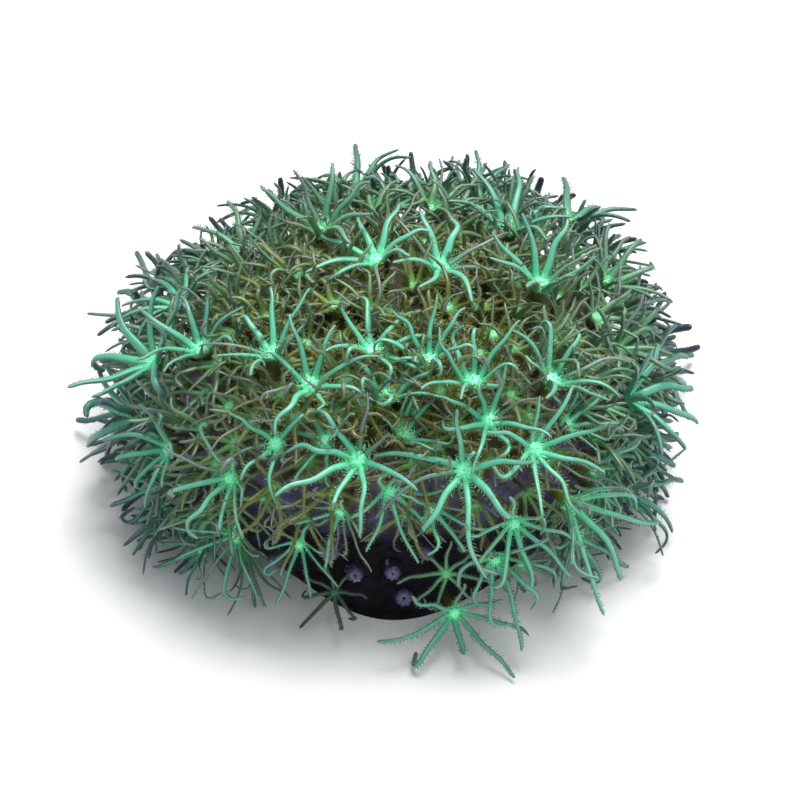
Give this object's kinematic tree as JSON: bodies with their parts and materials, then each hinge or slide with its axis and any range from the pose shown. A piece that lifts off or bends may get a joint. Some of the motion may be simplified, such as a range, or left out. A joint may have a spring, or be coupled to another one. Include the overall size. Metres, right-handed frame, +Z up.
{
  "type": "green star polyp coral colony",
  "caption": "Low mound of rubbery purple coral mat, cut flat underneath, covered in green star-shaped polyps with feathery tentacles on short stalks.",
  "frame": {"origin": "centre of the flat cut underneath the mat, on the surface that the colony rests on", "axes": "+Z up, square to the flat cut; the picture sees the colony from -Y, with +X to its right"},
  "size_m": [0.0819, 0.0793, 0.0364],
  "materials": {
    "mat": "satin",
    "polyp": "satin"
  },
  "bodies": {
    "root": {"mat": "mat", "polyp_01": "polyp", "polyp_02": "polyp", "polyp_03": "polyp", "polyp_04": "polyp", "polyp_05": "polyp", "polyp_06": "polyp", "polyp_07": "polyp", "polyp_08": "polyp", "polyp_09": "polyp", "polyp_10": "polyp", "polyp_11": "polyp", "polyp_12": "polyp", "polyp_13": "polyp", "polyp_14": "polyp", "polyp_15": "polyp", "polyp_16": "polyp", "polyp_17": "polyp", "polyp_18": "polyp", "polyp_19": "polyp", "polyp_20": "polyp", "polyp_21": "polyp", "polyp_22": "polyp", "polyp_23": "polyp", "polyp_24": "polyp", "polyp_25": "polyp", "polyp_26": "polyp", "polyp_27": "polyp", "polyp_28": "polyp", "polyp_29": "polyp", "polyp_30": "polyp", "polyp_31": "polyp", "polyp_32": "polyp", "polyp_33": "polyp", "polyp_34": "polyp", "polyp_35": "polyp", "polyp_36": "polyp", "polyp_37": "polyp", "polyp_38": "polyp", "polyp_39": "polyp", "polyp_40": "polyp", "polyp_41": "polyp", "polyp_42": "polyp", "polyp_43": "polyp", "polyp_44": "polyp", "polyp_45": "polyp", "polyp_46": "polyp", "polyp_47": "polyp", "polyp_48": "polyp", "polyp_49": "polyp", "polyp_50": "polyp", "polyp_51": "polyp", "polyp_52": "polyp", "polyp_53": "polyp", "polyp_54": "polyp", "polyp_55": "polyp", "polyp_56": "polyp", "polyp_57": "polyp", "polyp_58": "polyp", "polyp_59": "polyp"}
  },
  "joints": []
}
